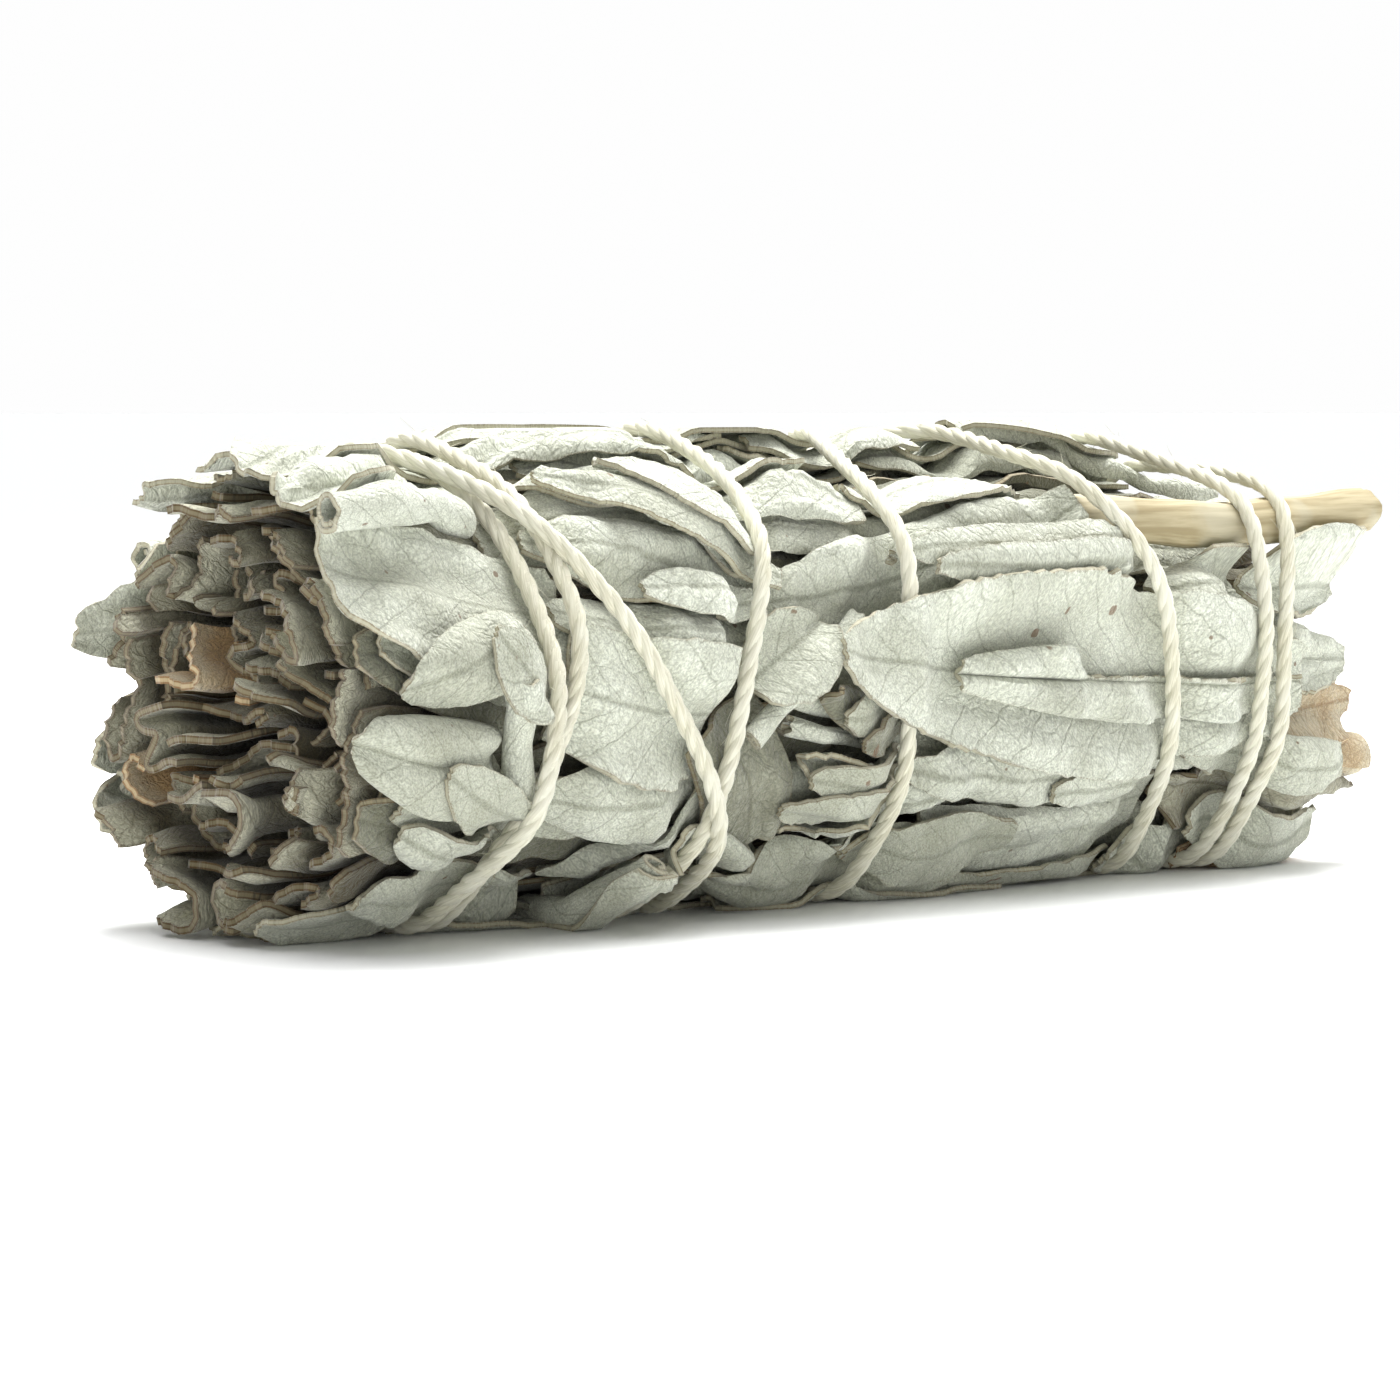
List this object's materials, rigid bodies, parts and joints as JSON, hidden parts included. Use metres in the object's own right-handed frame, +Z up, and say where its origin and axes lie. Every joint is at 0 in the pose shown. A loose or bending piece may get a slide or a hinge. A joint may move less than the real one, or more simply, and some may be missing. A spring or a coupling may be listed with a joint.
{
  "type": "white sage bundle",
  "caption": "Dried white sage leaves and stems folded lengthwise into a tight bundle and wound criss-cross with knotted cotton string, lying on its side.",
  "frame": {"origin": "middle of the bundle's bounding box, on the surface it lies on", "axes": "X along the bundle from the leafy end at -X to the cut stems at +X, the pictured side faces -Y, +Z up"},
  "size_m": [0.1081, 0.0395, 0.037],
  "materials": {
    "packed_leaf": "dried, felted, folded with brown edges",
    "under_leaf": "dried, felted, in shade between layers",
    "side_leaf": "dried, felted, pale grey-green",
    "outer_leaf": "dried, velvety, pale grey-green with fine veins",
    "stem": "dry tan stem, cut across",
    "string": "twisted cream cotton, matte"
  },
  "bodies": {
    "root": {"outer_leaf_01": "outer_leaf", "outer_leaf_02": "outer_leaf", "outer_leaf_03": "outer_leaf", "outer_leaf_04": "outer_leaf", "outer_leaf_05": "outer_leaf", "outer_leaf_06": "outer_leaf", "outer_leaf_07": "outer_leaf", "outer_leaf_08": "outer_leaf", "outer_leaf_09": "outer_leaf", "outer_leaf_10": "outer_leaf", "outer_leaf_11": "outer_leaf", "outer_leaf_12": "outer_leaf", "outer_leaf_13": "outer_leaf", "outer_leaf_14": "outer_leaf", "outer_leaf_15": "outer_leaf", "outer_leaf_16": "outer_leaf", "outer_leaf_17": "outer_leaf", "outer_leaf_18": "outer_leaf", "outer_leaf_19": "outer_leaf", "outer_leaf_front": "outer_leaf", "outer_leaf_hooked": "outer_leaf", "packed_leaf_01": "packed_leaf", "packed_leaf_02": "packed_leaf", "packed_leaf_03": "packed_leaf", "packed_leaf_04": "packed_leaf", "packed_leaf_05": "packed_leaf", "packed_leaf_06": "packed_leaf", "packed_leaf_07": "packed_leaf", "packed_leaf_08": "packed_leaf", "rest_leaf_1": "outer_leaf", "rest_leaf_2": "outer_leaf", "side_leaf_01": "side_leaf", "side_leaf_02": "side_leaf", "side_leaf_03": "side_leaf", "side_leaf_04": "side_leaf", "side_leaf_05": "side_leaf", "side_leaf_06": "side_leaf", "side_leaf_07": "side_leaf", "side_leaf_08": "side_leaf", "side_leaf_09": "side_leaf", "side_leaf_10": "side_leaf", "side_leaf_11": "side_leaf", "side_leaf_12": "side_leaf", "side_leaf_13": "side_leaf", "side_leaf_14": "side_leaf", "side_leaf_15": "side_leaf", "side_leaf_16": "side_leaf", "side_leaf_17": "side_leaf", "stem_1": "stem", "stem_2": "stem", "stem_3": "stem", "stem_4": "stem", "string": "string", "under_leaf_1": "under_leaf", "under_leaf_2": "under_leaf", "under_leaf_3": "under_leaf", "under_leaf_4": "under_leaf", "under_leaf_5": "under_leaf"}
  },
  "joints": []
}
